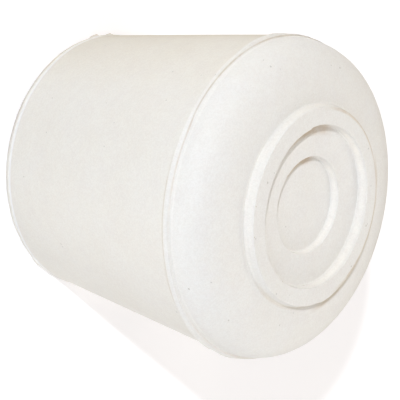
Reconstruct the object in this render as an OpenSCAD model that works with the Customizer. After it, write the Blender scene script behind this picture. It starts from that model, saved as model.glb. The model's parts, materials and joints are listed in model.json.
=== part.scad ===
// Slip-on rubber foot for a round leg: a tapered sleeve with a blind bore and a slight lip
// at its mouth, a thin rim at the mould's parting line, a domed shoulder, and a raised ring
// with two stepped recesses on the sole. It stands on its mouth, with the sole up.

/* [Leg socket] */
// Width of the bore that grips the leg
bore_d = 25; // [20:0.1:26.5]
// Bevel that leads the leg into the bore
lead_in = 0.5; // [0.2:0.1:0.6]
// Radius of the corner at the bore's blind end
bore_end_r = 1.2; // [0.4:0.1:3]
// Rubber between the bore's end and the deeper recess of the sole
sole_t = 5.8; // [2:0.1:10]

/* [Sleeve] */
// Outer width of the sleeve at its mouth, inside the lip
mouth_d = 32.3; // [29:0.1:36]
// Outer width of the sleeve where it meets the rim
sleeve_base_d = 37.5; // [34:0.1:42]
// Height of the sleeve, from the mouth to the rim
sleeve_h = 29; // [18:0.1:45]
// How far the lip at the mouth stands out from the sleeve
lip_step = 0.15; // [0.05:0.05:0.6]
// Height of the lip
lip_h = 0.6; // [0.3:0.05:2]
// How far the lip's side leans in towards the mouth
lip_lean = 0.2; // [0.05:0.05:0.6]

/* [Rim] */
// How far the rim stands out from the sleeve
rim_step = 0.3; // [0.1:0.05:1.5]
// Height of the rim
rim_h = 0.5; // [0.3:0.05:2]
// How far the rim's side leans in towards the sole
rim_lean = 0.2; // [0.05:0.05:0.6]
// Width of the ledge between the rim and the shoulder
ledge_w = 0.35; // [0.1:0.05:1]
// How far the ledge rises towards the shoulder
ledge_rise = 0.2; // [0:0.05:0.5]

/* [Shoulder] */
// Height of the domed shoulder above the ledge
shoulder_h = 4.3; // [2:0.1:9]
// Fullness of the dome: 2 is an ellipse, and more is squarer
shoulder_fullness = 2.4; // [1.6:0.05:3.5]

/* [Sole] */
// Width of the raised ring where it leaves the shoulder
ring_foot_d = 23.3; // [20:0.1:28]
// Height of the raised ring above the shoulder
ring_h = 1.1; // [0.3:0.05:2]
// How far the ring's side leans in towards its top
ring_lean = 0.3; // [0.05:0.05:0.8]
// Width of the outer recess
outer_recess_d = 18.8; // [14:0.1:20.6]
// Depth of the outer recess below the ring's top
outer_recess_depth = 1.3; // [0.4:0.1:2.4]
// Width of the inner recess
inner_recess_d = 11.2; // [4:0.1:13]
// Depth of the inner recess below the outer one
inner_recess_depth = 1; // [0.4:0.1:2]
// How far each recess narrows down to its floor, on each side
recess_draft = 0.1; // [0:0.05:0.4]

/* [Hidden] */

$fn = 96;
rubber_colour = "#EFEDE6";

// How far a cutter runs past the face that it opens
past = 1;
// Straight steps in the shoulder's curve and in the bore's rounded corner
shoulder_steps = 24;
corner_steps = 6;

mouth_r = mouth_d / 2;
lip_r = mouth_r + lip_step;
sleeve_base_r = sleeve_base_d / 2;
rim_foot_r = sleeve_base_r + rim_step;
rim_top_r = rim_foot_r - rim_lean;
shoulder_r = rim_top_r - ledge_w;
ring_foot_r = ring_foot_d / 2;
ring_top_r = ring_foot_r - ring_lean;

rim_top_z = sleeve_h + rim_h;
shoulder_foot_z = rim_top_z + ledge_rise;
shoulder_top_z = shoulder_foot_z + shoulder_h;
sole_z = shoulder_top_z + ring_h;
outer_floor_z = sole_z - outer_recess_depth;
inner_floor_z = outer_floor_z - inner_recess_depth;
bore_end_z = inner_floor_z - sole_t;

// Growth of the sleeve's radius for each unit of height
taper = (sleeve_base_r - mouth_r) / sleeve_h;
// Height where the lip, narrowing at 45 degrees, meets the sleeve
lip_top_z = (lip_step + lip_h) / (1 + taper);

// Points along an arc about a centre, from one angle to another
function arc(centre, radius, start, end) = [
    for (i = [0 : corner_steps])
        let (a = start + (end - start) * i / corner_steps)
        centre + radius * [cos(a), sin(a)]
];

// A quarter of a superellipse, from the ledge up to the foot of the raised ring
function shoulder_curve() = [
    for (i = [0 : shoulder_steps])
        let (a = 90 * i / shoulder_steps, power = 2 / shoulder_fullness)
        [ring_foot_r + (shoulder_r - ring_foot_r) * pow(cos(a), power),
         shoulder_foot_z + shoulder_h * pow(sin(a), power)]
];

// The lip, sleeve, rim, shoulder and raised ring as one turned form
module outer_form() {
    rotate_extrude()
        polygon(concat(
            [[0, 0]],
            [[lip_r - lip_lean, 0], [lip_r, lip_h], [mouth_r + taper * lip_top_z, lip_top_z]],
            [[sleeve_base_r, sleeve_h], [rim_foot_r, sleeve_h], [rim_top_r, rim_top_z]],
            shoulder_curve(),
            [[ring_top_r, sole_z], [0, sole_z]]
        ));
}

// The blind bore, with its lead-in at the mouth and a rounded corner at its end
module leg_bore() {
    bore_r = bore_d / 2;
    rotate_extrude()
        polygon(concat(
            [[0, -past], [bore_r + lead_in + past, -past], [bore_r, lead_in]],
            arc([bore_r - bore_end_r, bore_end_z - bore_end_r], bore_end_r, 0, 90),
            [[0, bore_end_z]]
        ));
}

// A shallow round recess that narrows to its floor, cut from its mouth upwards
module recess(width, floor_z, mouth_z) {
    mouth_radius = width / 2;
    rotate_extrude()
        polygon([
            [0, floor_z],
            [mouth_radius - recess_draft, floor_z],
            [mouth_radius, mouth_z],
            [mouth_radius, mouth_z + past],
            [0, mouth_z + past]
        ]);
}

// The two stepped recesses inside the raised ring
module sole_recesses() {
    recess(outer_recess_d, outer_floor_z, sole_z);
    recess(inner_recess_d, inner_floor_z, outer_floor_z);
}

module foot() {
    color(rubber_colour)
        difference() {
            outer_form();
            leg_bore();
            sole_recesses();
        }
}

foot();
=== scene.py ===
import json
import math
import bpy
from mathutils import Matrix, Vector, noise


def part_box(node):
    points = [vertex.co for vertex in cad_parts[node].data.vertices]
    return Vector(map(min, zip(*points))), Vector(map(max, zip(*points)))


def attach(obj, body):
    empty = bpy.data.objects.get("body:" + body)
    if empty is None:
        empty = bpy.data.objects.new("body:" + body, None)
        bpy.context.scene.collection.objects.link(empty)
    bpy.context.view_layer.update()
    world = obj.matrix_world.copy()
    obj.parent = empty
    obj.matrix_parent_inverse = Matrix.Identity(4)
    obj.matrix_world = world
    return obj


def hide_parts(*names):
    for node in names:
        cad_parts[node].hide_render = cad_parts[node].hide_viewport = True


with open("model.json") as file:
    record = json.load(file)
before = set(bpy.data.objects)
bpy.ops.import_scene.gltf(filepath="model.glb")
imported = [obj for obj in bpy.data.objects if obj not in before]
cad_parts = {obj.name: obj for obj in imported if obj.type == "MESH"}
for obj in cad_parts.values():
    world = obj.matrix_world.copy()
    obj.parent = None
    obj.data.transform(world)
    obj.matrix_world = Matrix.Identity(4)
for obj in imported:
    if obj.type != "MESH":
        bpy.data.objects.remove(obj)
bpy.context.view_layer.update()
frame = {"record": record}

# ---------------------------------------------------------------- sizes
# Lengths are in millimetres and angles in degrees. The overall sizes come from the
# frame; polar angles run from +X towards +Y, and the camera stands at 270.
MM = 0.001

foot_low, foot_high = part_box("foot")
RIM_R = (foot_high.x - foot_low.x) / 2 / MM
HEIGHT = foot_high.z / MM

leg_bore = next(m for m in frame["record"]["mounts"] if m["name"] == "leg_bore")
BORE_R = leg_bore["dims"]["r_mm"]
BORE_END_R = 1.2
LEAD_IN = 0.5

SLEEVE_H = 29
SLEEVE_TOP_R = 18.75
MOUTH_R = 16.15
LIP_R = 16.3
LIP_H = 0.6
LIP_LEAN = 0.2
LIP_TOP_Z = 0.74

RIM_H = 0.5
RIM_DRAFT = 0.02
RIM_FOOT_R = RIM_R - 0.02
RIM_TOP_R = RIM_R - 0.19
LEAST_RIM_STEP = 0.06
LEAST_RIM_LEAN = 0.04
LEDGE_RISE = 0.2
SHOULDER_R = 18.52
SHOULDER_FULLNESS = 2.4

RING_H = 1.1
RING_TOP_R = 11.35
RING_LEAN = 0.3

OUTER_RECESS_R = 9.4
OUTER_RECESS_DEPTH = 1.3
INNER_RECESS_R = 5.6
INNER_RECESS_DEPTH = 1.0
INNER_RECESS_SHIFT = Vector((0.08, -0.25))
RECESS_DRAFT = 0.1
SOLE_T = 5.8

RIM_TOP_Z = SLEEVE_H + RIM_H
SHOULDER_FOOT_Z = RIM_TOP_Z + LEDGE_RISE
SHOULDER_TOP_Z = HEIGHT - RING_H
OUTER_FLOOR_Z = HEIGHT - OUTER_RECESS_DEPTH
INNER_FLOOR_Z = OUTER_FLOOR_Z - INNER_RECESS_DEPTH
BORE_END_Z = INNER_FLOOR_Z - SOLE_T

# Radii of the small roundings, from the crispest to the softest
CRISP_EDGE = 0.03
LIP_CORNER = 0.05
RIM_EDGE = 0.06
RECESS_EDGE = 0.08
RING_EDGE = 0.1
SOFT_EDGE = 0.12
DEEP_CORNER = 0.15

# How the moulded edges wander around the foot, as (angle, extra radius or height) stops
LIP_WANDER = [(0, 0.02), (60, 0), (150, 0), (180, -0.05), (193, -0.02), (195.5, 0.14), (198, 0),
              (202, 0.05), (203.5, 0.32), (205, 0.22), (207, 0.04), (240, 0.04), (300, 0),
              (326, 0), (332.5, 0.2), (334, 0.08), (343, 0.08), (351, 0.03)]
RIM_FOOT_WANDER = [(0, 0), (60, -0.05), (150, -0.1), (180, -0.28), (190, -0.25), (206, 0.12),
                   (212, 0.2), (224, 0), (300, 0), (320, 0.15), (331, 0.25), (341, 0.2),
                   (343, 0.06), (347, 0.06), (349, 0.12)]
RIM_TOP_WANDER = [(0, 0), (150, -0.05), (186, -0.15), (207, 0.28), (226, 0.2), (243, -0.06),
                  (262, -0.02), (283, 0.04), (284.5, 0.09), (300, 0), (330, 0.14), (348, 0.05)]
RIM_H_WANDER = [(0, 0), (150, 0), (185, -0.1), (200, -0.1), (209, -0.28), (243, -0.28), (258, 0)]
SHOULDER_FOOT_WANDER = [(0, 0), (150, -0.1), (182, -0.4), (204, -0.4), (215, -0.3), (248, -0.3),
                        (260, 0)]
RING_WANDER = [(0, 0.03), (22, 0.03), (23.5, 0.14), (50, -0.06), (90, -0.17), (120, -0.3),
               (150, -0.18), (180, -0.05), (210, 0.1), (270, 0.15), (330, 0.12)]
OUTER_RECESS_WANDER = [(0, -0.06), (20, -0.05), (90, -0.15), (135, -0.12), (180, -0.1),
                       (208, 0), (211, -0.11), (240, -0.03), (270, 0), (295, 0.08),
                       (311, 0.28), (334, 0.22), (345, 0.08)]

# The fine raggedness on top of that, as (amount, fineness, seed), and the arcs where the
# recesses' edges are nicked, as (start, end, how far the nicks fade beyond them)
LIP_RAGGED = (0.04, 12, 1)
RIM_FOOT_RAGGED = (0.012, 14, 2)
RIM_TOP_RAGGED = (0.02, 9, 3)
RIM_H_RAGGED = (0.02, 10, 8)
RING_RAGGED = (0.015, 12, 4)
OUTER_RECESS_RAGGED = (0.02, 15, 5)
OUTER_RECESS_NICKS = (0.07, 24, 6)
OUTER_NICKED_ARC = (318, 6, 10)
INNER_RECESS_RAGGED = (0.02, 12, 7)
INNER_RECESS_NICK = 0.08
INNER_NICKED_ARC = (244.5, 246, 2)

# How finely the skin is divided, and how far past each rounding its support points lie
COLUMNS = 600
ROW_SPACING = 4.0
SHOULDER_STEPS = 30
FILLET_STEPS = 4
SUPPORT = 0.06

# ---------------------------------------------------------------- looks
# Colours of the rubber, the heights between which the sleeve's gives way to the sole's, the
# painted highlight on the lip's top, and the colours and strengths of what is specked or stained
SLEEVE_COLOUR = (0.846, 0.818, 0.764, 1)
SOLE_COLOUR = (0.866, 0.85, 0.82, 1)
COLOUR_CHANGE = (SLEEVE_H - 0.1, SLEEVE_H + 0.3)
LIP_HIGHLIGHT_COLOUR = (0.93, 0.935, 0.955, 1)
STRAY_COLOUR = (0.6, 0.57, 0.52, 1)
SPECK_COLOUR = (0.3, 0.29, 0.27, 1)
SPECK_STRENGTH = 0.4
STAIN_COLOUR = (0.42, 0.35, 0.18, 1)
STAIN_STRENGTH = 0.6

# Mottling in patches, smaller blotches and grain, as (size, shift of the noise, where it
# starts, where it is full, detail), and the shades that they tint with
PATCHES = (6, 3.1, 0.35, 0.65, 4.0)
PATCH_SHADE = (0.995, 0.99, 0.98)
BLOTCHES = (2.2, 8.7, 0.4, 0.7, 4.0)
BLOTCH_SHADE = (0.99, 0.985, 0.99)
GRAIN = [((0.17, 2.0, 0.35, 0.65, 3.0), (0.955, 0.955, 0.95)),
         ((0.4, 4.0, 0.35, 0.65, 3.0), (0.985, 0.975, 0.97)),
         ((1.1, 6.0, 0.35, 0.65, 3.0), (0.99, 0.99, 0.995))]

# Roughness with how much the mottling adds, and the fine relief's sizes and depth
ROUGHNESS = 0.56
ROUGHNESS_CHANGE = 0.06
PEBBLE_SIZE = 0.45
SWELL_SIZE = 3
RELIEF_DEPTH = 0.009

# Painted shade darkening the sleeve towards 180 degrees, and painted light on it towards 0, as
# (where it starts, where it is full, shade), both places being the cosine of the polar angle
PAINTED_SIDE_SHADING = [(-0.33, -0.95, (0.96, 0.94, 0.9)), (-0.86, -1, (0.87, 0.83, 0.77)),
               (0.72, 0.97, (1.045, 1.045, 1.045))]

# Painted shade and painted light along the seams: the darker lines paint the shadows and
# shaded corners at the ring, in the recesses, under the rim and on the lip's side, and the
# lighter ones paint light on the lit walls, ledges and rim. Each is (radius, height, width,
# shade, middle angle, half the arc's angle). An arc's ends fade over some degrees to either
# side, a line is full over the core of its width, and noise of this size makes it patchy.
ARC_BLEND = 12
SEAM_CORE = 0.2
SEAM_PATCH_SIZE = 1.5
PAINTED_SEAM_LINES = [(11.65, 34.05, 0.5, (0.95, 0.92, 0.88), 5, 37),
         (11.85, 34.05, 0.45, (1.07, 1.065, 1.05), 282, 35),
         (12.35, 34.0, 0.8, (0.84, 0.77, 0.68), 74, 45),
         (11.15, 35.08, 0.3, (0.83, 0.76, 0.67), 115, 72),
         (11.5, 34.6, 0.6, (1.065, 1.06, 1.045), 245, 55),
         (8.7, 33.8, 0.95, (0.79, 0.68, 0.57), 240, 58),
         (9.35, 34.5, 0.65, (1.09, 1.09, 1.085), 84, 80),
         (9.3, 34.2, 0.8, (1.07, 1.06, 1.04), 146, 16),
         (5.1, 32.8, 0.75, (0.8, 0.69, 0.58), 238, 50),
         (5.55, 33.3, 0.55, (1.09, 1.09, 1.085), 84, 80),
         (18.8, 28.95, 0.2, (0.86, 0.81, 0.74), 0, 180),
         (18.8, 29.3, 0.45, (1.05, 1.045, 1.035), 200, 35),
         (18.7, 29.33, 0.14, (0.81, 0.76, 0.7), 215, 33),
         (18.72, 28.7, 0.18, (0.89, 0.86, 0.82), 295, 25),
         (18.7, 28.5, 0.18, (0.84, 0.8, 0.75), 324, 14),
         (18.5, 29.6, 0.2, (1.04, 1.04, 1.04), 215, 33),
         (18.7, 29.5, 0.17, (0.87, 0.82, 0.77), 256, 20),
         (18.48, 29.85, 0.2, (1.05, 1.05, 1.05), 258, 25),
         (18.72, 29.6, 0.3, (1.055, 1.045, 1.03), 298, 28),
         (18.95, 29.25, 0.3, (1.06, 1.06, 1.05), 345, 18),
         (18.7, 29.55, 0.2, (0.94, 0.91, 0.88), 345, 18),
         (18.48, 29.85, 0.2, (1.06, 1.06, 1.05), 342, 22),
         (LIP_R + 0.05, 0.25, 0.5, (0.86, 0.84, 0.82), 222, 50)]

# A painted highlight along the top of the lip, as (radius, height, width)
LIP_HIGHLIGHT = (LIP_R + 0.05, LIP_TOP_Z + 0.12, 0.27)

# Stray specks: how many lie along a millimetre, and the distances from the middle of one, as
# shares of their spacing, between which it fades in
STRAY_SCALE = 0.3
STRAY_EDGE = (0.045, 0.02)

# Small marks, as (angle, radius, height, size), full over the core of their size. Noise
# shifts their outlines by some part of the wobble.
MARK_CORE = 0.3
MARK_WOBBLE = 0.25
WOBBLE_SCALE = 4.0
SPECKS = [(233, 18.14, 22.1, 0.16), (234, 18.56, 26.8, 0.12), (311, 17.01, 9.6, 0.14),
          (257, 17.75, 17.8, 0.13), (265, 16.75, 6.7, 0.13), (266, 17.72, 17.5, 0.12),
          (216, 16.68, 5.9, 0.14), (322, 18.65, 27.9, 0.16), (219, 17.25, 32.55, 0.17),
          (216, 16.64, 33.05, 0.14), (219, 17.93, 31.7, 0.13), (202, 16.42, 33.2, 0.14),
          (219.5, 14.15, 34.1, 0.13), (318, 14.81, 33.9, 0.13), (308.5, 16.73, 33, 0.13),
          (325, 16.1, 33.4, 0.13), (6, 12.4, 34.1, 0.18), (256, 9.7, 35.1, 0.13),
          (87, 10.3, 35.1, 0.13), (113, 10, 35.1, 0.13), (139, 10.6, 35.1, 0.13),
          (350, 10.4, 35.1, 0.11), (296, 11.15, 35.1, 0.13), (338, 11.2, 35.1, 0.12),
          # The last three marks are dark spots in small nicks at the rim's outer edge, painting the
          # shade in them
          (323, 3.7, 32.8, 0.14), (234.2, 19.03, 29.07, 0.15), (243.4, 19.03, 29.07, 0.14),
          (247.8, 19.04, 29.02, 0.12)]
STAINS = [(278, 11.3, 35.1, 0.1), (295, 11.35, 35.1, 0.1), (350.5, 9.3, 35.05, 0.17),
          (12, 9.37, 34.05, 0.2), (15, 9.37, 34.1, 0.13), (338, 9.6, 35.1, 0.11)]

# The floor, and the glow that only the camera sees
FLOOR_SIZE = 4000
FLOOR_COLOUR = (0.9, 0.9, 0.9, 1)
GLOW_COLOUR = (0.97, 0.92, 1, 1)
GLOW_LEVEL = 0.24

# A small key lamp and large soft ones, as (name, azimuth, elevation, width, level, colour)
LAMP_DISTANCE = 400
LAMPS = [("key", -107, 34, 12, 0.49, (0.955, 1, 1.055)),
         ("front", -95, 35, 300, 0.09, (0.98, 1, 1.02)),
         ("low_front", -22, 36, 300, 0.235, (0.975, 1, 1.05)),
         ("side", -65, 15, 300, 0.06, (0.98, 1, 1.04)),
         ("below", -5, 10, 300, 0.215, (1.02, 1.01, 0.98)),
         ("far_side", 55, 16, 300, 0.28, (1.05, 1.01, 0.94)),
         ("back", 80, 48, 300, 0.25, (1.06, 1.01, 0.93)),
         ("high_back", 120, 15, 300, 0.075, (1.05, 1.01, 0.94)),
         ("above", 170, 50, 300, 0.23, (1.06, 1, 0.93)),
         ("high_left", 180, 15, 300, 0.16, (1.06, 1.02, 0.94))]
WORLD_LEVEL = 0.036
WORLD_COLOUR = (1.04, 1, 0.94, 1)


# ---------------------------------------------------------------- outline
def facing(angle):
    """The direction straight out from the axis at a polar angle."""
    a = math.radians(angle)
    return math.cos(a), math.sin(a)


def fillet(before, corner, after, radius):
    """Points of a rounded corner, with a support point past each end."""
    to_before = (before - corner).normalized()
    to_after = (after - corner).normalized()
    half = to_before.angle(to_after) / 2
    reach = radius / math.tan(half)
    centre = corner + (to_before + to_after).normalized() * radius / math.sin(half)
    start = corner + to_before * reach
    end = corner + to_after * reach
    points = [start + to_before * SUPPORT]
    for i in range(FILLET_STEPS + 1):
        t = i / FILLET_STEPS
        spoke = (start - centre).lerp(end - centre, t).normalized() * radius
        points.append(centre + spoke)
    points.append(end + to_after * SUPPORT)
    return points


def wander(angle, stops):
    """The value at an angle, easing from stop to stop around the foot."""
    for (start, value), (end, next_value) in zip(stops, stops[1:] + stops[:1]):
        span = (end - start) % 360
        t = (angle - start) % 360 / span
        if t < 1:
            return value + (next_value - value) * t * t * (3 - 2 * t)


def ragged(angle, raggedness):
    """Fine noise that closes on itself around the foot."""
    amount, fineness, seed = raggedness
    x, y = facing(angle)
    return amount * noise.noise(Vector((x * fineness, y * fineness, seed)))


def edge(angle, place, stops, raggedness):
    """Where an edge runs at an angle: its place, how it wanders and its raggedness."""
    return place + wander(angle, stops) + ragged(angle, raggedness)


def window(angle, start, end, blend):
    """1 between two angles, easing to 0 outside them."""
    middle = (end - start) % 360 / 2
    away = abs((angle - start - middle + 180) % 360 - 180)
    t = min(1, max(0, (middle + blend - away) / blend))
    return t * t * (3 - 2 * t)


def sleeve_r(z):
    """The tapered sleeve's radius at a height."""
    return MOUTH_R + (SLEEVE_TOP_R - MOUTH_R) * z / SLEEVE_H


def shoulder_curve(foot_z, ring_foot_r):
    """A quarter of a superellipse, from the ledge up to the foot of the raised ring."""
    points = []
    for i in range(1, SHOULDER_STEPS):
        a = math.pi / 2 * i / SHOULDER_STEPS
        out = math.cos(a) ** (2 / SHOULDER_FULLNESS)
        up = math.sin(a) ** (2 / SHOULDER_FULLNESS)
        points.append((ring_foot_r + (SHOULDER_R - ring_foot_r) * out,
                       foot_z + (SHOULDER_TOP_Z - foot_z) * up, 0))
    return points


def bore_and_sleeve(angle):
    """Corners from the bore's end to the sleeve's top, as (radius, height, rounding)."""
    lip_r = edge(angle, LIP_R, LIP_WANDER, LIP_RAGGED)
    return [(0, BORE_END_Z, 0),
            (BORE_R, BORE_END_Z, BORE_END_R),
            (BORE_R, LEAD_IN, DEEP_CORNER),
            (BORE_R + LEAD_IN, 0, SOFT_EDGE),
            (lip_r - LIP_LEAN, 0, SOFT_EDGE),
            (lip_r, LIP_H, CRISP_EDGE),
            (sleeve_r(LIP_TOP_Z), LIP_TOP_Z, LIP_CORNER),
            (SLEEVE_TOP_R, SLEEVE_H, CRISP_EDGE)]


def rim_and_ring(angle):
    """Corners of the rim, its ledge, the shoulder and the raised ring's outside."""
    rim_foot_r = edge(angle, RIM_FOOT_R, RIM_FOOT_WANDER, RIM_FOOT_RAGGED)
    rim_top_r = edge(angle, RIM_TOP_R, RIM_TOP_WANDER, RIM_TOP_RAGGED)
    rim_top_z = edge(angle, RIM_TOP_Z, RIM_H_WANDER, RIM_H_RAGGED)
    shoulder_foot_z = SHOULDER_FOOT_Z + wander(angle, SHOULDER_FOOT_WANDER)
    ring_r = edge(angle, RING_TOP_R, RING_WANDER, RING_RAGGED)
    return [(max(rim_foot_r, SLEEVE_TOP_R + LEAST_RIM_STEP), SLEEVE_H + RIM_DRAFT, CRISP_EDGE),
            (min(rim_top_r, rim_foot_r - LEAST_RIM_LEAN), rim_top_z, RIM_EDGE),
            (SHOULDER_R, shoulder_foot_z, SOFT_EDGE),
            *shoulder_curve(shoulder_foot_z, ring_r + RING_LEAN),
            (ring_r + RING_LEAN, SHOULDER_TOP_Z, SOFT_EDGE),
            (ring_r, HEIGHT, RING_EDGE)]


def recesses(angle):
    """Corners of the two recesses, from the ring's top to the middle of the inner floor."""
    outer_r = edge(angle, OUTER_RECESS_R, OUTER_RECESS_WANDER, OUTER_RECESS_RAGGED)
    outer_r += window(angle, *OUTER_NICKED_ARC) * ragged(angle, OUTER_RECESS_NICKS)
    inner_r = INNER_RECESS_R + INNER_RECESS_SHIFT.dot(facing(angle))
    inner_r += ragged(angle, INNER_RECESS_RAGGED)
    inner_r += window(angle, *INNER_NICKED_ARC) * INNER_RECESS_NICK
    return [(outer_r, HEIGHT, RECESS_EDGE),
            (outer_r - RECESS_DRAFT, OUTER_FLOOR_Z, DEEP_CORNER),
            (inner_r, OUTER_FLOOR_Z, RECESS_EDGE),
            (inner_r - RECESS_DRAFT, INNER_FLOOR_Z, DEEP_CORNER),
            (0, INNER_FLOOR_Z, 0)]


def foot_outline(angle):
    """The half section at one angle as (radius, height) points, from the bore to the sole."""
    corners = bore_and_sleeve(angle) + rim_and_ring(angle) + recesses(angle)
    places = [Vector((radius, height)) for radius, height, _ in corners]
    points = [places[0]]
    for before, here, after, corner in zip(places, places[1:], places[2:], corners[1:]):
        rounding = corner[2]
        points += fillet(before, here, after, rounding) if rounding else [here]
    points.append(places[-1])
    return points


def fill_steps(points):
    """How many rows each stretch of the outline gets, so that long ones are divided."""
    return [max(1, math.ceil((b - a).length / ROW_SPACING)) for a, b in zip(points, points[1:])]


def filled(points, steps):
    """The outline with extra points along its long straight stretches."""
    result = [points[0]]
    for a, b, count in zip(points, points[1:], steps):
        result += [a.lerp(b, i / count) for i in range(1, count + 1)]
    return result


# ---------------------------------------------------------------- the foot
def foot_mesh():
    """The whole foot as one closed skin, column by column around its axis."""
    steps = fill_steps(foot_outline(0))
    rows = sum(steps) - 1
    verts = []
    for c in range(COLUMNS):
        angle = 360 * c / COLUMNS
        out = Vector(facing(angle))
        points = filled(foot_outline(angle), steps)
        verts += [(p.x * out.x * MM, p.x * out.y * MM, p.y * MM) for p in points[1:-1]]
    bore_pole = len(verts)
    sole_pole = bore_pole + 1
    verts += [(0, 0, points[0].y * MM), (0, 0, points[-1].y * MM)]
    faces = []
    for c in range(COLUMNS):
        here = c * rows
        there = (c + 1) % COLUMNS * rows
        faces.append((bore_pole, here, there))
        faces += [(here + r, here + r + 1, there + r + 1, there + r) for r in range(rows - 1)]
        faces.append((here + rows - 1, sole_pole, there + rows - 1))
    mesh = bpy.data.meshes.new("rubber_foot")
    mesh.from_pydata(verts, [], faces)
    mesh.shade_smooth()
    return mesh


# ---------------------------------------------------------------- materials
def node(tree, kind, inputs, **settings):
    """Add a shader node, link or set its inputs, and return its first output if it has one."""
    new = tree.nodes.new("ShaderNode" + kind)
    for name, value in settings.items():
        setattr(new, name, value)
    for name, value in inputs.items():
        if isinstance(value, bpy.types.NodeSocket):
            tree.links.new(value, new.inputs[name])
        else:
            new.inputs[name].default_value = value
    return next((output for output in new.outputs if output.enabled), None)


def maths(tree, operation, a, b):
    """One calculation with two values."""
    return node(tree, "Math", {0: a, 1: b}, operation=operation)


def fade(tree, value, start, end):
    """0 where the value is at the start, easing to 1 at the end."""
    return node(tree, "MapRange", {"Value": value, "From Min": start, "From Max": end},
                interpolation_type="SMOOTHSTEP")


def blend(tree, factor, a, b):
    """From one colour towards another, by some amount of the way."""
    return node(tree, "Mix", {0: factor, 6: a, 7: b}, data_type="RGBA")


def tint(tree, factor, colour, shade):
    """Multiply a colour by a shade, by some amount of the way."""
    return node(tree, "Mix", {0: factor, 6: colour, 7: (*shade, 1)}, data_type="RGBA",
                blend_type="MULTIPLY")


def cloud(tree, where, size, shift, detail):
    """Noise around 0.5 with features of about a size in millimetres."""
    moved = node(tree, "VectorMath", {0: where, 1: (shift, shift, shift)})
    return node(tree, "TexNoise", {"Vector": moved, "Scale": 1 / size, "Detail": detail})


def spots(tree, where, size, shift, start, end, detail):
    """0 where a cloud of noise is at the start or below it, easing to 1 at the end."""
    return fade(tree, cloud(tree, where, size, shift, detail), start, end)


def seam(tree, section, radius, height, width):
    """1 along a circular seam around the foot, fading to 0 a width away from it."""
    away = node(tree, "VectorMath", {0: section, 1: (radius, 0, height)}, operation="DISTANCE")
    return fade(tree, away, width, width * SEAM_CORE)


def around(tree, where, radius, middle, half):
    """1 around an arc's middle angle, fading to 0 near its ends; a whole circle is 1 everywhere."""
    if half == 180:
        return 1.0
    forward = node(tree, "VectorMath", {0: where, 1: (*facing(middle), 0)},
                   operation="DOT_PRODUCT")
    return fade(tree, forward, radius * math.cos(math.radians(half + ARC_BLEND)),
                radius * math.cos(math.radians(half - ARC_BLEND)))


def marks(tree, where, places):
    """1 at small round marks, each given as (angle, radius, height, size)."""
    total = 0.0
    for angle, radius, height, size in places:
        x, y = facing(angle)
        place = (radius * x, radius * y, height)
        away = node(tree, "VectorMath", {0: where, 1: place}, operation="DISTANCE")
        total = maths(tree, "MAXIMUM", total, fade(tree, away, size, size * MARK_CORE))
    return total


def plain_colour(tree, across, height):
    """The sleeve's colour, with painted shade and painted light along its sides, and the sole's
    colour above it.
    """
    on_sole = fade(tree, height, *COLOUR_CHANGE)
    on_sleeve = fade(tree, on_sole, 1.0, 0.0)
    colour = blend(tree, on_sole, SLEEVE_COLOUR, SOLE_COLOUR)
    # Painted shade and painted light along the sleeve's sides
    for start, end, shade in PAINTED_SIDE_SHADING:
        side = maths(tree, "MULTIPLY", fade(tree, across, start, end), on_sleeve)
        colour = tint(tree, side, colour, shade)
    return colour


def mottled(tree, where, colour, patches, blotches):
    """The colour with patches, blotches and fine grain."""
    colour = tint(tree, patches, colour, PATCH_SHADE)
    colour = tint(tree, blotches, colour, BLOTCH_SHADE)
    for grain, shade in GRAIN:
        colour = tint(tree, spots(tree, where, *grain), colour, shade)
    return colour


def seams_painted_light_and_shade(tree, where, section, colour):
    """The colour with patchy painted shade and painted light at the seams, and a painted highlight
    on the lip.
    """
    # Painted shade and painted light along the seams
    for radius, height, width, shade, middle, half in PAINTED_SEAM_LINES:
        line = maths(tree, "MULTIPLY", seam(tree, section, radius, height, width),
                     around(tree, where, radius, middle, half))
        patchy = maths(tree, "MULTIPLY", cloud(tree, where, SEAM_PATCH_SIZE, radius, 3.0), 2.0)
        colour = tint(tree, maths(tree, "MULTIPLY", line, patchy), colour, shade)
    # A painted highlight along the lip's top
    return blend(tree, seam(tree, section, *LIP_HIGHLIGHT), colour, LIP_HIGHLIGHT_COLOUR)


def speckled(tree, where, colour):
    """The colour with faint stray specks, and the specks and stains of the lists above."""
    grit = node(tree, "TexNoise", {"Vector": where, "Scale": WOBBLE_SCALE})
    wobble = maths(tree, "MULTIPLY", maths(tree, "SUBTRACT", grit, 0.5), MARK_WOBBLE)
    ragged_where = node(tree, "VectorMath", {0: where, 1: wobble})
    stray = node(tree, "TexVoronoi", {"Vector": ragged_where, "Scale": STRAY_SCALE})
    colour = blend(tree, fade(tree, stray, *STRAY_EDGE), colour, STRAY_COLOUR)
    specks = maths(tree, "MULTIPLY", marks(tree, ragged_where, SPECKS), SPECK_STRENGTH)
    colour = blend(tree, specks, colour, SPECK_COLOUR)
    stains = maths(tree, "MULTIPLY", marks(tree, ragged_where, STAINS), STAIN_STRENGTH)
    return blend(tree, stains, colour, STAIN_COLOUR)


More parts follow.
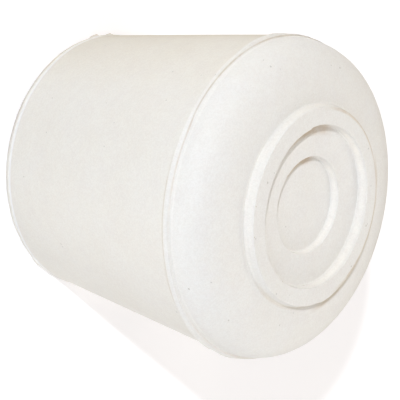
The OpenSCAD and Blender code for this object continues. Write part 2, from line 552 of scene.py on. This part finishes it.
def rubber_material():
    """Matt off-white rubber: mottled, finely grained, with a few specks, and with painted shade,
    light and highlights at its seams, sides and lip.
    """
    material = bpy.data.materials.new("rubber")
    material.use_nodes = True
    tree = material.node_tree
    shader = tree.nodes["Principled BSDF"]
    object_space = tree.nodes.new("ShaderNodeTexCoord").outputs["Object"]
    where = node(tree, "VectorMath", {0: object_space, "Scale": 1 / MM}, operation="SCALE")
    split = tree.nodes.new("ShaderNodeSeparateXYZ")
    tree.links.new(where, split.inputs[0])
    height = split.outputs["Z"]
    flat = node(tree, "VectorMath", {0: where, 1: (1, 1, 0)}, operation="MULTIPLY")
    radius = node(tree, "VectorMath", {0: flat}, operation="LENGTH")
    section = node(tree, "CombineXYZ", {"X": radius, "Z": height})
    across = maths(tree, "DIVIDE", split.outputs["X"], radius)
    patches = spots(tree, where, *PATCHES)
    blotches = spots(tree, where, *BLOTCHES)

    colour = plain_colour(tree, across, height)
    colour = mottled(tree, where, colour, patches, blotches)
    # Painted shade and light at the seams, and a painted highlight on the lip
    colour = seams_painted_light_and_shade(tree, where, section, colour)
    tree.links.new(speckled(tree, where, colour), shader.inputs["Base Color"])

    mottling = maths(tree, "ADD", patches, blotches)
    rough = node(tree, "Math", {0: mottling, 1: ROUGHNESS_CHANGE, 2: ROUGHNESS},
                 operation="MULTIPLY_ADD")
    tree.links.new(rough, shader.inputs["Roughness"])

    pebbles = cloud(tree, where, PEBBLE_SIZE, 5.0, 2.0)
    swells = maths(tree, "MULTIPLY", cloud(tree, where, SWELL_SIZE, 1.0, 1.0), 2.0)
    relief = maths(tree, "ADD", pebbles, swells)
    bump = node(tree, "Bump", {"Height": relief, "Strength": 1.0, "Distance": RELIEF_DEPTH * MM})
    tree.links.new(bump, shader.inputs["Normal"])
    return material


def floor_material():
    """A plain pale floor, with a faint glow that only the camera sees."""
    material = bpy.data.materials.new("floor")
    material.use_nodes = True
    tree = material.node_tree
    tree.nodes.clear()
    camera_ray = tree.nodes.new("ShaderNodeLightPath").outputs["Is Camera Ray"]
    paint = node(tree, "BsdfDiffuse", {"Color": FLOOR_COLOUR})
    glow = node(tree, "Emission", {"Color": GLOW_COLOUR,
                                   "Strength": maths(tree, "MULTIPLY", camera_ray, GLOW_LEVEL)})
    both = node(tree, "AddShader", {0: paint, 1: glow})
    node(tree, "OutputMaterial", {"Surface": both})
    return material


# ---------------------------------------------------------------- scene
def add_object(name, mesh, material):
    """An object with one material, placed in the scene."""
    thing = bpy.data.objects.new(name, mesh)
    mesh.materials.append(material)
    bpy.context.scene.collection.objects.link(thing)
    return thing


def make_camera():
    """The camera looks down on the sole, rolled as if the foot lay on its side."""
    elevation = 40.6
    roll = 102.9
    distance = 157
    aim = Vector((2.2, 0, 17.7)) * MM
    data = bpy.data.cameras.new("camera")
    data.sensor_width = 36
    data.lens = 117
    data.clip_start = 10 * MM
    camera = bpy.data.objects.new("camera", data)
    e = math.radians(elevation)
    back = Vector((0, -math.cos(e), math.sin(e)))
    tilt = Matrix.Rotation(math.radians(90 - elevation), 4, "X")
    turn = Matrix.Rotation(math.radians(roll), 4, "Z")
    camera.matrix_world = Matrix.Translation(aim + back * distance * MM) @ tilt @ turn
    bpy.context.scene.collection.objects.link(camera)
    bpy.context.scene.camera = camera


def add_softbox(name, azimuth, elevation, width, level, colour):
    """A round lamp aimed at the foot. Level 1 shows a facing colour as it is written."""
    x, y = facing(azimuth)
    e = math.radians(elevation)
    out = Vector((x * math.cos(e), y * math.cos(e), math.sin(e)))
    data = bpy.data.lights.new(name, "AREA")
    data.shape = "DISK"
    data.size = width * MM
    data.energy = level * (math.pi * LAMP_DISTANCE * MM) ** 2
    data.color = colour
    lamp = bpy.data.objects.new(name, data)
    aim = Vector((0, 0, HEIGHT / 2 * MM))
    lamp.location = aim + out * LAMP_DISTANCE * MM
    lamp.rotation_mode = "QUATERNION"
    lamp.rotation_quaternion = out.to_track_quat("Z", "Y")
    bpy.context.scene.collection.objects.link(lamp)


def make_world():
    """A faint even light, and plain white where the camera sees past the floor."""
    world = bpy.data.worlds.new("world")
    world.use_nodes = True
    tree = world.node_tree
    tree.nodes.clear()
    camera_ray = tree.nodes.new("ShaderNodeLightPath").outputs["Is Camera Ray"]
    ambient = node(tree, "Background", {"Color": WORLD_COLOUR, "Strength": WORLD_LEVEL})
    white = node(tree, "Background", {"Color": (1, 1, 1, 1)})
    mix = node(tree, "MixShader", {0: camera_ray, 1: ambient, 2: white})
    node(tree, "OutputWorld", {"Surface": mix})
    bpy.context.scene.world = world


def floor_square():
    """The floor, level with the foot's mouth."""
    half = FLOOR_SIZE / 2 * MM
    mesh = bpy.data.meshes.new("floor")
    corners = [(-half, -half, 0), (half, -half, 0), (half, half, 0), (-half, half, 0)]
    mesh.from_pydata(corners, [], [(0, 1, 2, 3)])
    return mesh


make_camera()
make_world()
for lamp in LAMPS:
    add_softbox(*lamp)

foot = add_object("rubber_foot", foot_mesh(), rubber_material())
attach(foot, "root")
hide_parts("foot")

floor = add_object("floor", floor_square(), floor_material())

bpy.context.scene.view_settings.view_transform = "Standard"
